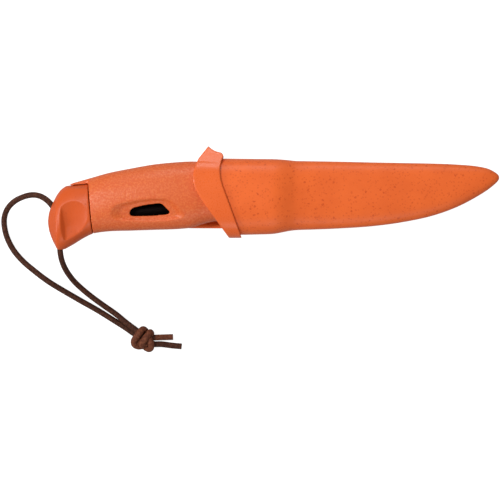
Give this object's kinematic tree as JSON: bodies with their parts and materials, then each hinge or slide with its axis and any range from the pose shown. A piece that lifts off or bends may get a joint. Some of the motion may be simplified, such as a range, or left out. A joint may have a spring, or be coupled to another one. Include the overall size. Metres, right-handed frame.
{
  "type": "sheathed outdoor knife",
  "caption": "Fixed-blade outdoor knife in a moulded belt sheath, with a pull-out fire striker as the butt of its handle and a knotted leather lanyard.",
  "frame": {"origin": "on the surface that the sheathed knife lies on, below the middle of its box without the lanyard", "axes": "+X towards the sheath tip, +Y towards the blade's spine side, +Z away from the belt clip"},
  "size_m": [0.2673, 0.1106, 0.0385],
  "materials": {
    "sheath_plastic": "terracotta moulded plastic with fine dark specks",
    "collar_plastic": "terracotta moulded plastic, smooth and slightly glossy",
    "core_plastic": "hard dark brown plastic, which only shows inside the window",
    "grip_rubber": "soft terracotta overmould with a fine rough texture",
    "striker_plastic": "smooth terracotta moulded plastic",
    "blade_steel": "fine ground stainless steel",
    "ferro_metal": "dark sintered striker rod",
    "lanyard_leather": "dark brown round leather cord"
  },
  "bodies": {
    "sheath": {"sheath_body": "sheath_plastic", "sheath_collar": "collar_plastic"},
    "clip": {"belt_clip": "collar_plastic"},
    "knife": {"blade": "blade_steel", "handle_core": "core_plastic", "handle_grip": "grip_rubber"},
    "rod": {"ferro_rod": "ferro_metal"},
    "striker": {"striker_handle": "striker_plastic", "lanyard_upper_leg": "lanyard_leather", "lanyard_lower_leg": "lanyard_leather", "lanyard_knot": "lanyard_leather", "lanyard_tail_short": "lanyard_leather", "lanyard_tail_long": "lanyard_leather"}
  },
  "joints": [
    {"name": "clip_flex", "type": "hinge", "parent": "sheath", "child": "clip", "pos_m": [-0.043, 0.0025, 0.0068], "axis": [0, 1, 0], "range_deg": [0, 5], "stiffness_Nm_per_rad": 8},
    {"name": "knife_slide", "type": "slide", "parent": "sheath", "child": "knife", "axis": [-1, 0, 0], "range_m": [0, 0.15]},
    {"name": "striker_pull", "type": "slide", "parent": "knife", "child": "rod", "axis": [-0.9962, -0.0872, 0], "range_m": [0, 0.07]},
    {"name": "striker_twist", "type": "hinge", "parent": "rod", "child": "striker", "pos_m": [-0.0969, -0.0088, 0.023], "axis": [-0.9962, -0.0872, 0], "range_deg": [0, 35]}
  ]
}
